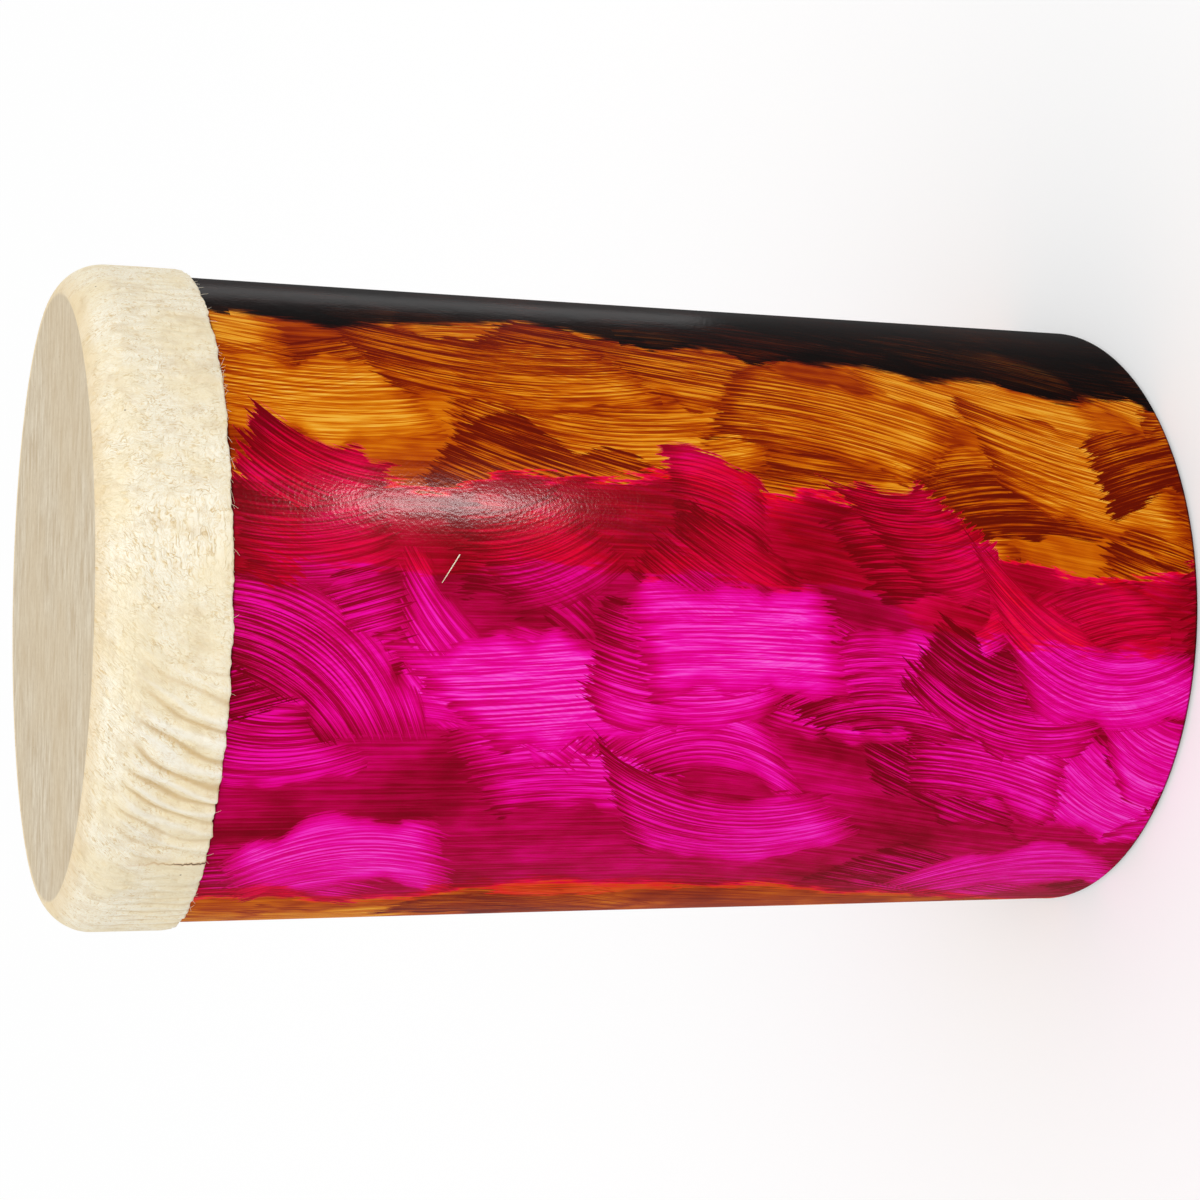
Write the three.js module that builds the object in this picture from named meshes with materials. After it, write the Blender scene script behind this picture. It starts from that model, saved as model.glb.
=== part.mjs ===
// Thunder drum: a lacquered tube with a goatskin head and a long steel spring that hangs free inside it.
// Millimetres, +Z up. The drum stands on its open rim, with the origin at the middle of the rim's end face.
import * as THREE from 'three';

// Tube
const tubeDiameter = 150;
const tubeWall = 6;
const tubeHeight = 258.5;
const rimRound = 1.6; // outer edge of the open end
const innerEdgeBreak = 0.8; // inner edges of both ends
const bearingLand = 0.5; // flat ring that the skin lies on, outside the inner edge break
const roundOverDown = 8; // height of the rounded bearing edge
const roundOverSweep = 1.2; // radians of the rounding, so that the skin keeps a crease at its top

// Skin
const skinThickness = 1.2;
const collarDepth = 27; // from the outer face of the head to the cut edge of the collar
const glueGap = 0.3;

// Button that holds the spring's fastening under the skin
const buttonDiameter = 36;
const buttonThickness = 9;
const buttonEdgeRound = 2.5;
const buttonFloor = 2; // wood left above the tip of the screw eye
const threadGap = 0.3;

// Screw eye
const eyeWire = 2.4;
const eyeInside = 7.6;
const eyeNeck = 3; // shank between the button and the top of the eye
const eyeOpening = 70; // degrees of the eye left open beside its shank
const eyeStart = 50; // degrees above level where the bend from the shank meets the eye

// Jump ring
const ringWire = 1.8;
const ringInside = 11.2;
const ringJoint = 0.9; // width of the open joint
const linkGap = 0.3; // play where one link hangs in another

// Spring
const springWire = 1.2;
const springOutside = 9;
const springGap = 0.8; // space between curls
const springEndHeight = 30; // free end above the open rim
const loopRise = 3.4; // centre of the end loop above the topmost curl
const loopSweep = 300; // degrees of the end loop
const loopLead = 24; // degrees before the loop's plane where the wire leaves the coil

// Smoothness
const roundSteps = 64;
const arcSteps = 6;
const hookSteps = 5;
const ringSteps = 24;
const ringSides = 8;
const curlSteps = 8;
const curlSides = 5;
const bendHandle = 0.4; // how far a bend's handles reach, as a share of its span
const nearlyParallel = 0.9; // cosine above which a wire's start needs another side direction

// Heights and radii that follow from the sizes above
const tubeRadius = tubeDiameter / 2;
const boreRadius = tubeRadius - tubeWall;
const creaseRadius = boreRadius + innerEdgeBreak + bearingLand;
const shoulderHeight = tubeHeight - roundOverDown;
const skinUnderside = tubeHeight + glueGap;
const skinTop = skinUnderside + skinThickness;
const buttonTop = skinUnderside - glueGap;
const buttonBottom = buttonTop - buttonThickness;
const eyeRadius = (eyeInside + eyeWire) / 2;
const eyeCentre = buttonBottom - eyeNeck - eyeWire / 2 - eyeRadius;
const ringRadius = (ringInside + ringWire) / 2;
const ringCentre = eyeCentre - eyeRadius + (eyeWire + ringWire) / 2 + linkGap - ringRadius;
const coilRadius = (springOutside - springWire) / 2;
const loopCentre = ringCentre - ringRadius + (ringWire + springWire) / 2 + linkGap - coilRadius;
const coilTop = loopCentre - loopRise;
const springPitch = springWire + springGap;
const springCurls = Math.round((coilTop - springEndHeight) / springPitch);

const degrees = THREE.MathUtils.degToRad;
const at = (radius, height) => new THREE.Vector2(radius, height);

function part(name, geometry, color, roughness, metalness) {
  const mesh = new THREE.Mesh(geometry, new THREE.MeshStandardMaterial({ color, roughness, metalness }));
  mesh.name = name;
  return mesh;
}

// Turns an outline of (radius, height) points round the drum's axis.
function turned(outline) {
  return new THREE.LatheGeometry(outline, roundSteps).rotateX(Math.PI / 2);
}

// Quarter-round corner about a centre, from one angle to another, in degrees.
function corner(radius, height, round, from, to) {
  const points = [];
  for (let step = 0; step <= arcSteps; step++) {
    const angle = degrees(from + ((to - from) * step) / arcSteps);
    points.push(at(radius + round * Math.cos(angle), height + round * Math.sin(angle)));
  }
  return points;
}

// Rounded shoulder from the tube's side up to the crease of the head, on the tube or an offset outside it.
function shoulder(offset) {
  const outside = tubeRadius + offset;
  const depthIn = outside - creaseRadius;
  const depthDown = roundOverDown + offset;
  const points = [];
  for (let step = 0; step <= arcSteps; step++) {
    const angle = (roundOverSweep * step) / arcSteps;
    const inward = (1 - Math.cos(angle)) / (1 - Math.cos(roundOverSweep));
    const upward = Math.sin(angle) / Math.sin(roundOverSweep);
    points.push(at(outside - depthIn * inward, shoulderHeight + depthDown * upward));
  }
  return points;
}

// Round wire along a path of points, closed by a flat cap at each end.
function wire(path, diameter, sides) {
  const tangents = path.map((_, i) => {
    const before = path[Math.max(i - 1, 0)];
    const after = path[Math.min(i + 1, path.length - 1)];
    return after.clone().sub(before).normalize();
  });
  const across = new THREE.Vector3(0, 1, 0);
  if (Math.abs(across.dot(tangents[0])) > nearlyParallel) across.set(1, 0, 0);
  const vertices = [];
  const faces = [];
  path.forEach((point, i) => {
    across.addScaledVector(tangents[i], -across.dot(tangents[i])).normalize();
    const side = tangents[i].clone().cross(across);
    for (let k = 0; k < sides; k++) {
      const angle = (2 * Math.PI * k) / sides;
      const vertex = point.clone();
      vertex.addScaledVector(across, (Math.cos(angle) * diameter) / 2);
      vertex.addScaledVector(side, (Math.sin(angle) * diameter) / 2);
      vertices.push(...vertex.toArray());
    }
  });
  for (let i = 0; i + 1 < path.length; i++) {
    for (let k = 0; k < sides; k++) {
      const here = i * sides + k;
      const next = i * sides + ((k + 1) % sides);
      faces.push(here, next, here + sides, next, next + sides, here + sides);
    }
  }
  const last = (path.length - 1) * sides;
  for (let k = 1; k + 1 < sides; k++) {
    faces.push(0, k + 1, k, last, last + k, last + k + 1);
  }
  const geometry = new THREE.BufferGeometry();
  geometry.setAttribute('position', new THREE.Float32BufferAttribute(vertices, 3));
  geometry.setIndex(faces);
  geometry.computeVertexNormals();
  return geometry;
}

// Smooth bend between two points that leaves and arrives in given directions, without its two ends.
function bend(from, leaving, to, arriving) {
  const reach = from.distanceTo(to);
  const curve = new THREE.CubicBezierCurve3(
    from,
    from.clone().addScaledVector(leaving, reach * bendHandle),
    to.clone().addScaledVector(arriving, -reach * bendHandle),
    to,
  );
  return curve.getPoints(hookSteps).slice(1, -1);
}

// Least space that a round wire keeps to its own other turns, measured between points along its path.
// Points with less wire between them than a given length lie on one bend and aren't compared.
function leastGap(path, diameter, oneBend) {
  const perStep = 4;
  const points = [];
  const along = [];
  let length = 0;
  for (let i = 0; i + 1 < path.length; i++) {
    const step = path[i].distanceTo(path[i + 1]) / perStep;
    for (let k = 0; k < perStep; k++) {
      points.push(path[i].clone().lerp(path[i + 1], k / perStep));
      along.push(length);
      length += step;
    }
  }
  let least = Infinity;
  for (let i = 0; i < points.length; i++) {
    for (let j = i + 1; j < points.length; j++) {
      if (along[j] - along[i] > oneBend) least = Math.min(least, points[i].distanceTo(points[j]));
    }
  }
  return least - diameter;
}

// Tube with a rounded open rim and a rounded bearing edge at the top.
function drumTube() {
  const outline = [
    at(boreRadius + innerEdgeBreak, 0),
    ...corner(tubeRadius - rimRound, rimRound, rimRound, -90, 0),
    ...shoulder(0),
    at(boreRadius + innerEdgeBreak, tubeHeight),
    at(boreRadius, tubeHeight - innerEdgeBreak),
    at(boreRadius, innerEdgeBreak),
    at(boreRadius + innerEdgeBreak, 0),
  ];
  return turned(outline);
}

// Skin: flat head, creased shoulder and collar, of one thickness.
function drumSkin() {
  const collarEdge = skinTop - collarDepth;
  const outline = [
    at(0, skinUnderside),
    ...shoulder(glueGap).reverse(),
    at(tubeRadius + glueGap, collarEdge),
    at(tubeRadius + glueGap + skinThickness, collarEdge),
    ...shoulder(glueGap + skinThickness),
    at(0, skinTop),
  ];
  return turned(outline);
}

// Wooden button with a blind hole for the screw eye.
function anchorButton() {
  const radius = buttonDiameter / 2;
  const holeRadius = eyeWire / 2 + threadGap;
  const holeTop = buttonTop - buttonFloor;
  const outline = [
    at(0, holeTop),
    at(holeRadius, holeTop),
    at(holeRadius, buttonBottom),
    ...corner(radius - buttonEdgeRound, buttonBottom + buttonEdgeRound, buttonEdgeRound, -90, 0),
    at(radius, buttonTop),
    at(0, buttonTop),
  ];
  return turned(outline);
}

// Screw eye: the shank comes down out of the button and bends round into an open ring in the XZ plane.
function screwEye() {
  const onEye = (angle) =>
    new THREE.Vector3(eyeRadius * Math.cos(angle), 0, eyeCentre + eyeRadius * Math.sin(angle));
  const start = degrees(eyeStart);
  const sweep = degrees(360 - eyeOpening);
  const tip = new THREE.Vector3(0, 0, buttonTop - buttonFloor - threadGap);
  const neck = new THREE.Vector3(0, 0, buttonBottom - eyeWire / 2);
  const down = new THREE.Vector3(0, 0, -1);
  const onward = new THREE.Vector3(Math.sin(start), 0, -Math.cos(start));
  const path = [tip, neck, ...bend(neck, down, onEye(start), onward)];
  for (let step = 0; step <= ringSteps; step++) path.push(onEye(start - (sweep * step) / ringSteps));
  return wire(path, eyeWire, ringSides);
}

// Jump ring in the YZ plane, hung in the eye, with its open joint at one side.
function jumpRing() {
  const half = ringJoint / 2 / ringRadius;
  const path = [];
  for (let step = 0; step <= ringSteps; step++) {
    const angle = half + ((2 * Math.PI - 2 * half) * step) / ringSteps;
    path.push(new THREE.Vector3(0, ringRadius * Math.cos(angle), ringCentre + ringRadius * Math.sin(angle)));
  }
  return wire(path, ringWire, ringSides);
}

// Spring: curls from the free end up, then a bend into an end loop in the XZ plane that hangs in the ring.
function thunderSpring() {
  const lead = degrees(loopLead);
  const turn = (2 * Math.PI) / curlSteps;
  const path = [];
  for (let step = springCurls * curlSteps; step >= 0; step--) {
    const angle = -lead - step * turn;
    const height = coilTop - (springPitch * step) / curlSteps;
    path.push(new THREE.Vector3(coilRadius * Math.cos(angle), coilRadius * Math.sin(angle), height));
  }
  const onLoop = (angle) =>
    new THREE.Vector3(coilRadius * Math.cos(angle), 0, loopCentre + coilRadius * Math.sin(angle));
  const climb = springPitch / (2 * Math.PI);
  const leaving = new THREE.Vector3(coilRadius * Math.sin(lead), coilRadius * Math.cos(lead), climb).normalize();
  path.push(...bend(path[path.length - 1], leaving, onLoop(0), new THREE.Vector3(0, 0, 1)));
  const loopSteps = 2 * curlSteps;
  for (let step = 0; step <= loopSteps; step++) path.push(onLoop((degrees(loopSweep) * step) / loopSteps));
  const gap = leastGap(path, springWire, (Math.PI * coilRadius) / 2);
  console.log(`thunder_spring: ${springCurls} curls, least gap to itself ${gap.toFixed(2)} mm`);
  return wire(path, springWire, curlSides);
}

const drum = new THREE.Group();
drum.add(
  part('drum_tube', drumTube(), 0xa5164f, 0.25, 0),
  part('drum_skin', drumSkin(), 0xe9dcc0, 0.8, 0),
  part('anchor_button', anchorButton(), 0xb98a58, 0.65, 0),
  part('screw_eye', screwEye(), 0xb4b6b8, 0.3, 1),
  part('jump_ring', jumpRing(), 0xb4b6b8, 0.3, 1),
  part('thunder_spring', thunderSpring(), 0x9a9da0, 0.35, 1),
);

export default drum;
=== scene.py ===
import math

import bpy
import numpy as np
from mathutils import Matrix, Vector


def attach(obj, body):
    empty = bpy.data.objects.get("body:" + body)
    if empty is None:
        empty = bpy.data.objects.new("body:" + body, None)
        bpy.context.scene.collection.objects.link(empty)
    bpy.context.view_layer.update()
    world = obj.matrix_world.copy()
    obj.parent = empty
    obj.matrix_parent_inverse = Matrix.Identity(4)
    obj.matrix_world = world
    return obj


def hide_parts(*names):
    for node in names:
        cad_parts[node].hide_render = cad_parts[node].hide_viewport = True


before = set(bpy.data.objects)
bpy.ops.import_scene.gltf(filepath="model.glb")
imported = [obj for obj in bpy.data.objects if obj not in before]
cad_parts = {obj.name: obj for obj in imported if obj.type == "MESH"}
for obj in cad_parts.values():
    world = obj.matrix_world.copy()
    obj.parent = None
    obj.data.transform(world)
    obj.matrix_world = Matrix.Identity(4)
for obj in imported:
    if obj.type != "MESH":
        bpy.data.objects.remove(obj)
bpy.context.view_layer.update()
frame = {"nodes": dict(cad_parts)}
scene = bpy.context.scene
scene.view_settings.view_transform = "Standard"

mm = 0.001
imageSize = 1200  # pixels, square
print("frame loaded:", ", ".join(frame["nodes"]))


# A socket that takes part in sums, so that a material's maths reads as maths

class Flow:
    def __init__(self, tree, socket):
        self.tree = tree
        self.socket = socket

    def math(self, operation, *others):
        node = self.tree.nodes.new("ShaderNodeMath")
        node.operation = operation
        for slot, value in zip(node.inputs, (self, *others)):
            feed(self.tree, slot, value)
        return Flow(self.tree, node.outputs[0])

    def __add__(self, other):
        return self.math("ADD", other)

    def __sub__(self, other):
        return self.math("SUBTRACT", other)

    def __mul__(self, other):
        return self.math("MULTIPLY", other)

    def __truediv__(self, other):
        return self.math("DIVIDE", other)

    def timesPlus(self, factor, rest):
        return self.math("MULTIPLY_ADD", factor, rest)

    def size(self):
        return self.math("ABSOLUTE")

    def smooth(self, low, high, start=0.0, stop=1.0):
        node = self.tree.nodes.new("ShaderNodeMapRange")
        node.interpolation_type = "SMOOTHSTEP"
        node.clamp = False  # a smooth step stays between its ends by itself
        for slot, value in zip(node.inputs, (self, low, high, start, stop)):
            feed(self.tree, slot, value)
        return Flow(self.tree, node.outputs[0])

    def spread(self, low, high, start=0.0, stop=1.0):
        # straight line through two points, not held to its ends
        slope = (stop - start) / (high - low)
        return self.timesPlus(slope, start - low * slope)

    def vector(self, operation, *others):
        node = self.tree.nodes.new("ShaderNodeVectorMath")
        node.operation = operation
        for slot, value in zip(node.inputs, (self, *others)):
            feed(self.tree, slot, value)
        return Flow(self.tree, node.outputs[0])

    def along(self, direction):
        node = self.tree.nodes.new("ShaderNodeVectorMath")
        node.operation = "DOT_PRODUCT"
        self.tree.links.new(self.socket, node.inputs[0])
        node.inputs[1].default_value = direction
        return Flow(self.tree, node.outputs["Value"])

    def parts(self):
        node = self.tree.nodes.new("ShaderNodeSeparateXYZ")
        self.tree.links.new(self.socket, node.inputs[0])
        return [Flow(self.tree, output) for output in node.outputs]

    def ramp(self, stops):
        # stops hold colours, or plain numbers that leave by the ramp's alpha
        node = self.tree.nodes.new("ShaderNodeValToRGB")
        elements = node.color_ramp.elements
        while len(elements) < len(stops):
            elements.new(0.5)
        plain = not isinstance(stops[0][1], tuple)
        for element, (place, value) in zip(elements, stops):
            element.position = place
            element.color = (value, value, value, value) if plain else (*value, 1)
        self.tree.links.new(self.socket, node.inputs[0])
        return Flow(self.tree, node.outputs["Alpha" if plain else "Color"])


def feed(tree, slot, value):
    if isinstance(value, Flow):
        tree.links.new(value.socket, slot)
    else:
        slot.default_value = value


def joined(tree, x, y, z=0.0):
    node = tree.nodes.new("ShaderNodeCombineXYZ")
    for slot, value in zip(node.inputs, (x, y, z)):
        feed(tree, slot, value)
    return Flow(tree, node.outputs[0])


def noise(tree, place, scale=1.0, detail=2.0, roughness=0.5, colour=False, flat=False):
    node = tree.nodes.new("ShaderNodeTexNoise")
    if flat:
        node.noise_dimensions = "2D"
    feed(tree, node.inputs["Vector"], place)
    node.inputs["Scale"].default_value = scale
    node.inputs["Detail"].default_value = detail
    node.inputs["Roughness"].default_value = roughness
    return Flow(tree, node.outputs["Color" if colour else "Fac"])


def noiseLine(tree, place, detail=2.0, roughness=0.5):
    node = tree.nodes.new("ShaderNodeTexNoise")
    node.noise_dimensions = "1D"
    feed(tree, node.inputs["W"], place)
    node.inputs["Scale"].default_value = 1.0
    node.inputs["Detail"].default_value = detail
    node.inputs["Roughness"].default_value = roughness
    return Flow(tree, node.outputs["Fac"])


def pebbles(tree, place, scale, smoothness):
    node = tree.nodes.new("ShaderNodeTexVoronoi")
    node.feature = "SMOOTH_F1"
    feed(tree, node.inputs["Vector"], place)
    node.inputs["Scale"].default_value = scale
    node.inputs["Smoothness"].default_value = smoothness
    return Flow(tree, node.outputs["Distance"])


def chances(tree, cell):
    # four even chances from 0 to 1 for each cell
    node = tree.nodes.new("ShaderNodeTexWhiteNoise")
    feed(tree, node.inputs["Vector"], cell)
    split = tree.nodes.new("ShaderNodeSeparateColor")
    tree.links.new(node.outputs["Color"], split.inputs[0])
    return [Flow(tree, output) for output in (*split.outputs, node.outputs["Value"])]


def groupOf(name, inputs, output):
    # a node group of plain numbers, with its inputs and the socket that takes its result
    tree = bpy.data.node_groups.new(name, "ShaderNodeTree")
    for label in inputs:
        tree.interface.new_socket(label, in_out="INPUT", socket_type="NodeSocketFloat")
    tree.interface.new_socket(output, in_out="OUTPUT", socket_type="NodeSocketFloat")
    entry = tree.nodes.new("NodeGroupInput")
    leave = tree.nodes.new("NodeGroupOutput")
    return tree, [Flow(tree, entry.outputs[label]) for label in inputs], leave.inputs[output]


def useGroup(tree, group, **values):
    node = tree.nodes.new("ShaderNodeGroup")
    node.node_tree = group
    for label, value in values.items():
        feed(tree, node.inputs[label], value)
    return Flow(tree, node.outputs[0])


def blended(tree, share, first, second):
    node = tree.nodes.new("ShaderNodeMix")
    node.data_type = "RGBA"
    feed(tree, node.inputs[0], share)
    for slot, value in zip((node.inputs[6], node.inputs[7]), (first, second)):
        feed(tree, slot, value if isinstance(value, Flow) else (*value, 1))
    return Flow(tree, node.outputs[2])


def bumped(tree, height, distance, strength):
    node = tree.nodes.new("ShaderNodeBump")
    node.inputs["Strength"].default_value = strength
    node.inputs["Distance"].default_value = distance
    tree.links.new(height.socket, node.inputs["Height"])
    return Flow(tree, node.outputs[0])


def newMaterial(name, **settings):
    material = bpy.data.materials.new(name)
    material.use_nodes = True
    tree = material.node_tree
    shader = tree.nodes["Principled BSDF"]
    for slot, value in settings.items():
        shader.inputs[slot.replace("_", " ")].default_value = value
    return material, tree, shader


def ownPlace(tree):
    # the piece's own coordinates in millimetres
    node = tree.nodes.new("ShaderNodeTexCoord")
    return Flow(tree, node.outputs["Object"]).vector("MULTIPLY", (1 / mm, 1 / mm, 1 / mm))


# Meshes from rows of points, in millimetres

def placed(name, mesh, body, replaced=()):
    piece = bpy.data.objects.new(name, mesh)
    scene.collection.objects.link(piece)
    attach(piece, body)
    if replaced:
        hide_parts(*replaced)
    return piece


def meshOf(name, points, faces, materials, slots=None):
    mesh = bpy.data.meshes.new(name)
    mesh.from_pydata((np.asarray(points) * mm).tolist(), [], faces)
    for material in materials:
        mesh.materials.append(material)
    mesh.polygons.foreach_set("use_smooth", [True] * len(mesh.polygons))
    if slots is not None:
        mesh.polygons.foreach_set("material_index", slots)
    mesh.update()
    return mesh


def turnedFaces(rows, around, closed):
    # quads between rings of points, each ring running round +Z
    faces = []
    for row in range(rows if closed else rows - 1):
        here = row * around
        above = ((row + 1) % rows) * around
        for k in range(around):
            after = (k + 1) % around
            faces.append((here + k, here + after, above + after, above + k))
    return faces


def ringPoints(radius, height, around):
    # one ring, that starts at the side the photo shows and runs towards +X
    angle = np.linspace(0, 2 * np.pi, around, endpoint=False)
    radius = np.broadcast_to(radius, around)
    height = np.broadcast_to(height, around)
    return np.stack([radius * np.sin(angle), -radius * np.cos(angle), height], axis=1)


def arc(radius, height, rounding, start, stop, steps):
    angles = np.radians(np.linspace(start, stop, steps))
    return [(radius + rounding * math.cos(a), height + rounding * math.sin(a)) for a in angles]


def sweptWire(path, diameter, sides):
    # round wire with flat ends, on a frame that is carried along without twist
    path = np.asarray(path, dtype=float)
    steps = np.gradient(path, axis=0)
    along = steps / np.linalg.norm(steps, axis=1)[:, None]
    across = np.array([0.0, 1.0, 0.0]) if abs(along[0][1]) < 0.9 else np.array([1.0, 0.0, 0.0])
    widths = np.full(len(path), diameter / 2) if np.isscalar(diameter) else np.asarray(diameter) / 2
    angles = np.linspace(0, 2 * np.pi, sides, endpoint=False)
    points = []
    for place, direction, width in zip(path, along, widths):
        across = across - direction * across.dot(direction)
        across = across / np.linalg.norm(across)
        side = np.cross(direction, across)
        ring = np.cos(angles)[:, None] * across + np.sin(angles)[:, None] * side
        points.append(place + width * ring)
    faces = []
    for row in range(len(path) - 1):
        for k in range(sides):
            here = row * sides + k
            after = row * sides + (k + 1) % sides
            faces.append((here, after, after + sides, here + sides))
    last = (len(path) - 1) * sides
    faces.append(tuple(range(sides - 1, -1, -1)))
    faces.append(tuple(range(last, last + sides)))
    return np.concatenate(points), faces


def bend(start, leaving, stop, arriving, steps, handle=0.4):
    # smooth bend between two points, without its ends
    reach = handle * np.linalg.norm(stop - start)
    first = start + leaving * reach
    second = stop - arriving * reach
    t = np.linspace(0, 1, steps + 1)[1:-1, None]
    return (1 - t) ** 3 * start + 3 * t * (1 - t) ** 2 * first + 3 * t ** 2 * (1 - t) * second + t ** 3 * stop


def waves(angle, height, seed, counts, tall):
    # smooth unevenness that closes round the drum, about -1 to 1
    draw = np.random.default_rng(seed)
    total = np.zeros(np.broadcast(angle, height).shape)
    for count in counts:
        phase, tilt, size = draw.uniform(0, 2 * np.pi), draw.uniform(-1, 1), draw.uniform(0.5, 1)
        total = total + size * np.sin(count * angle + phase + tilt * 2 * np.pi * height / tall)
    return total / math.sqrt(len(counts))


# Camera, from the outlines in the photo

cameraSet = {
    "place": (0.0, -568.884, 334.005),  # mm
    "down": 20.1896,  # degrees below level
    "turn": 0.1874,  # degrees towards +X
    "roll": -88.877,  # the photo shows the drum lying, with its skin to the left
    "lens": 72.884,  # on a 36 mm sensor
}

camera = bpy.data.objects.new("photo_camera", bpy.data.cameras.new("photo_camera"))
scene.collection.objects.link(camera)
camera.data.sensor_width = 36
camera.data.lens = cameraSet["lens"]
camera.data.clip_start = 0.01
tilt = Matrix.Rotation(math.radians(90 - cameraSet["down"]), 4, "X")
heading = Matrix.Rotation(math.radians(-cameraSet["turn"]), 4, "Z")
roll = Matrix.Rotation(math.radians(cameraSet["roll"]), 4, "Z")
camera.matrix_world = Matrix.Translation(Vector(cameraSet["place"]) * mm) @ heading @ tilt @ roll
scene.camera = camera
print("camera set for", imageSize, "px")


# Drum tube

tubeSet = {
    "radius": 75.0,
    "bore": 69.0,
    "height": 258.5,
    "rimRound": 1.6,
    "edgeBreak": 0.8,
    "roundOverDown": 8.0,
    "roundOverSweep": 1.2,
    "collarEdge": 233.0,  # height of the skin's cut edge
    "around": 360,
    "wallRows": 72,
    "boreRows": 40,
    "unevenness": 0.12,
}
creaseRadius = tubeSet["bore"] + tubeSet["edgeBreak"] + 0.5
shoulderHeight = tubeSet["height"] - tubeSet["roundOverDown"]


def shoulderProfile(offset, steps):
    # rounded bearing edge, or a layer that lies over it, from the side up to the crease
    outside = tubeSet["radius"] + offset
    depthDown = tubeSet["roundOverDown"] + offset
    sweep = tubeSet["roundOverSweep"]
    points = []
    for angle in np.linspace(0, sweep, steps):
        inward = (1 - math.cos(angle)) / (1 - math.cos(sweep))
        upward = math.sin(angle) / math.sin(sweep)
        points.append((outside - (outside - creaseRadius) * inward, shoulderHeight + depthDown * upward))
    return points


paintSet = {
    "ground": (0.96, 0.92, 0.84),  # pale sized paperboard under the glazes
    "magenta": (0.08, 10.0, 1.3),  # how strongly each glaze takes red, green and blue out
    "amber": (0.02, 1.35, 5.9),
    "black": (2.6, 3.2, 3.5),
    "deepen": {"magenta": 0.136, "amber": 0.17},  # thick paint turns dark
    "most": 2.1,  # thickest film
    "lean": 15.0,  # degrees by which the bands slant near the open rim
    "leanFrom": 140.0,  # mm above the rim
    "lift": 5.0,  # magenta takes up the amber under it
    "edgeShadeAndGlue": 0.7,  # painted shadow and glue line along the skin's cut edge
}
brushSet = {
    "bristle": 0.62,  # mm, width of a bristle line
    "drift": 0.03,  # how soon the lines change along a stroke
    "tear": 12.0,  # mm, unevenness of a stroke's ends
}

# Where each glaze goes round the drum, in degrees from the front towards +X, and how its strokes run
glazes = {
    "amber": {
        "bands": [(-130, -59), (7, 176)],
        "wash": 1.4,
        "seed": 11,
        "strokes": [{
            "coats": 5,
            "middles": [(-120, -68), (17, 167)],  # where the strokes' middles lie
            "across": 8,  # strokes round the drum in one coat
            "tall": 96.0,  # mm of height for each stroke
            "halfWidth": 12.0,
            "halfLength": 36.0,
            "aim": 7.0,  # degrees off the drum's axis
            "aimSpread": 14.0,
            "bend": 0.012,  # 1/mm
            "skew": 0.9,  # slant of a stroke's ends
            "load": (0.35, 2.1),
            "least": 0.12,  # film that stays in the thinnest line
            "wipe": 0.8,
        }],
    },
    "magenta": {
        "bands": [(-60, 20), (166, 236)],
        "wash": 1.55,
        "seed": 41,
        "strokes": [{
            "coats": 2,
            "line": 13.0,  # these strokes fray the border over the amber
            "middles": [(3, 22), (228, 246)],
            "across": 8,
            "tall": 46.0,
            "halfWidth": 13.0,
            "halfLength": 17.0,
            "aim": 0.0,
            "aimSpread": 40.0,
            "bend": 0.03,
            "skew": 0.7,
            "load": (0.6, 1.0),
            "least": 0.35,
            "wipe": 0.8,
        }, {
            "coats": 7,
            "middles": [(-53, 3), (175, 227)],
            "across": 8,
            "tall": 84.0,
            "halfWidth": 14.0,
            "halfLength": 28.0,
            "aim": 4.0,
            "aimSpread": 26.0,
            "bend": 0.03,
            "skew": 1.1,
            "load": (0.15, 1.8),
            "least": 0.13,
            "wipe": 0.92,
        }],
    },
    "black": {
        "bands": [(58, 118)],
        "wash": 2.0,
        "seed": 71,
        "strokes": [{
            "coats": 1,
            "middles": [(63, 113)],
            "across": 8,
            "tall": 92.0,
            "halfWidth": 8.0,
            "halfLength": 38.0,
            "aim": 2.0,
            "aimSpread": 6.0,
            "bend": 0.004,
            "skew": 1.5,
            "load": (1.0, 1.8),
            "least": 0.2,
            "wipe": 0.5,
        }, {
            "coats": 1,
            "line": 63.0,  # thin strokes that let the amber through along the border
            "middles": [(56, 72), (104, 120)],
            "across": 8,
            "tall": 58.0,
            "halfWidth": 7.0,
            "halfLength": 27.0,
            "aim": 3.0,
            "aimSpread": 8.0,
            "bend": 0.008,
            "skew": 1.5,
            "load": (0.6, 1.4),
            "least": 0.4,
            "wipe": 0.85,
        }],
    },
}


def bandStops(bands, soft=0.0015):
    # ramp stops for a glaze's bands, as shares of a turn that start at the back
    stops = []
    for low, high in bands:
        for start, stop in ((low, high), (low - 360, high - 360)):
            first, last = start / 360 + 0.5, stop / 360 + 0.5
            if last <= 0 or first >= 1:
                continue
            stops += [(max(first - soft, 0), 0.0 if first > 0 else 1.0), (max(first, 0), 1.0)]
            stops += [(min(last, 1), 1.0), (min(last + soft, 1), 0.0 if last < 1 else 1.0)]
    return sorted(stops)


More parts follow.
